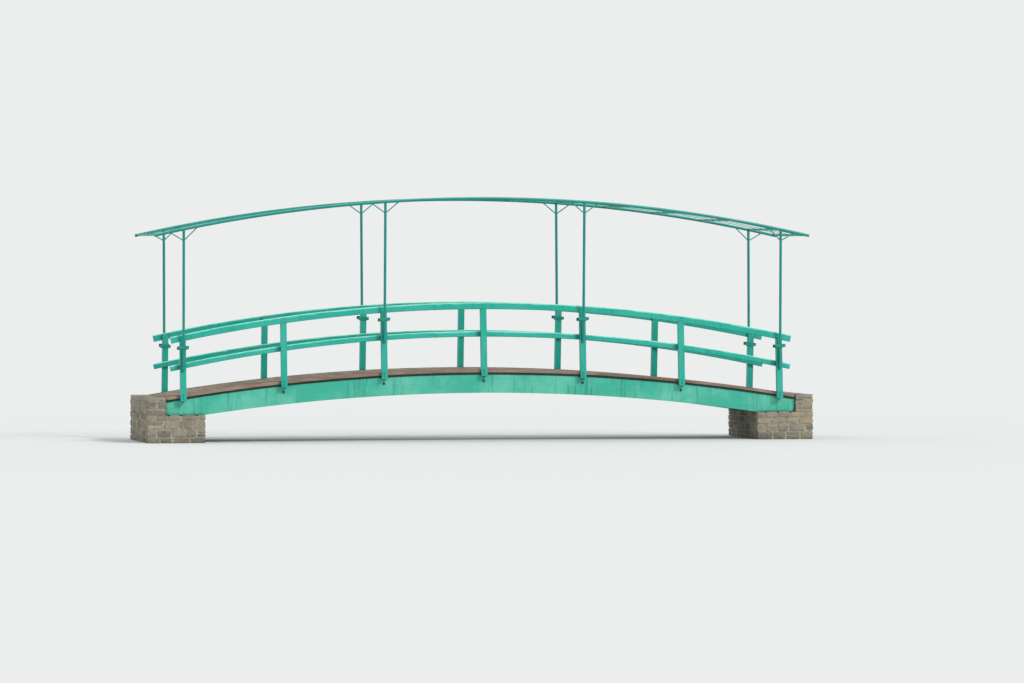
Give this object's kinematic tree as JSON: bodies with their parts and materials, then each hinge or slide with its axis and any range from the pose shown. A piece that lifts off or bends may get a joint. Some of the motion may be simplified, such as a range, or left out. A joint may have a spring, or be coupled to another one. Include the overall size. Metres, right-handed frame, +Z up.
{
  "type": "moon bridge",
  "caption": "Arched timber garden footbridge with curved railings and a tube trellis on poles over its deck.",
  "frame": {"origin": "middle of the bridge in plan, at the foot of the abutments", "axes": "+X along the bridge, +Y across it away from the viewer of the picture, +Z up"},
  "size_m": [10.72, 2.193, 3.854],
  "materials": {
    "rail_paint": "satin blue-green paint on timber",
    "beam_paint": "weathered, streaked blue-green paint on timber",
    "metal_paint": "satin blue-green paint on steel",
    "deck_boards": "bare, grey-brown weathered boards",
    "bare_edge": "bare, brown weathered timber",
    "masonry": "rough coursed rubble with lime mortar"
  },
  "bodies": {
    "root": {"abutment_left": "masonry", "abutment_right": "masonry", "side_beam_front": "beam_paint", "side_beam_back": "beam_paint", "centre_beam": "beam_paint", "cross_bearers": "beam_paint", "deck": "deck_boards", "deck_edge_front": "bare_edge", "deck_edge_back": "bare_edge", "post_front_1": "rail_paint", "post_front_2": "rail_paint", "post_front_3": "rail_paint", "post_front_4": "rail_paint", "post_front_5": "rail_paint", "post_front_6": "rail_paint", "post_front_7": "rail_paint", "post_back_1": "rail_paint", "post_back_2": "rail_paint", "post_back_3": "rail_paint", "post_back_4": "rail_paint", "post_back_5": "rail_paint", "post_back_6": "rail_paint", "post_back_7": "rail_paint", "top_rail_front": "rail_paint", "mid_rail_front": "rail_paint", "top_rail_back": "rail_paint", "mid_rail_back": "rail_paint", "pole_front_1": "metal_paint", "pole_front_2": "metal_paint", "pole_front_3": "metal_paint", "pole_front_4": "metal_paint", "pole_clamps_front": "metal_paint", "trellis_tube_front": "metal_paint", "trellis_braces_front": "metal_paint", "pole_back_1": "metal_paint", "pole_back_2": "metal_paint", "pole_back_3": "metal_paint", "pole_back_4": "metal_paint", "pole_clamps_back": "metal_paint", "trellis_tube_back": "metal_paint", "trellis_braces_back": "metal_paint", "trellis_cross_bars": "metal_paint", "trellis_laths": "metal_paint"}
  },
  "joints": []
}
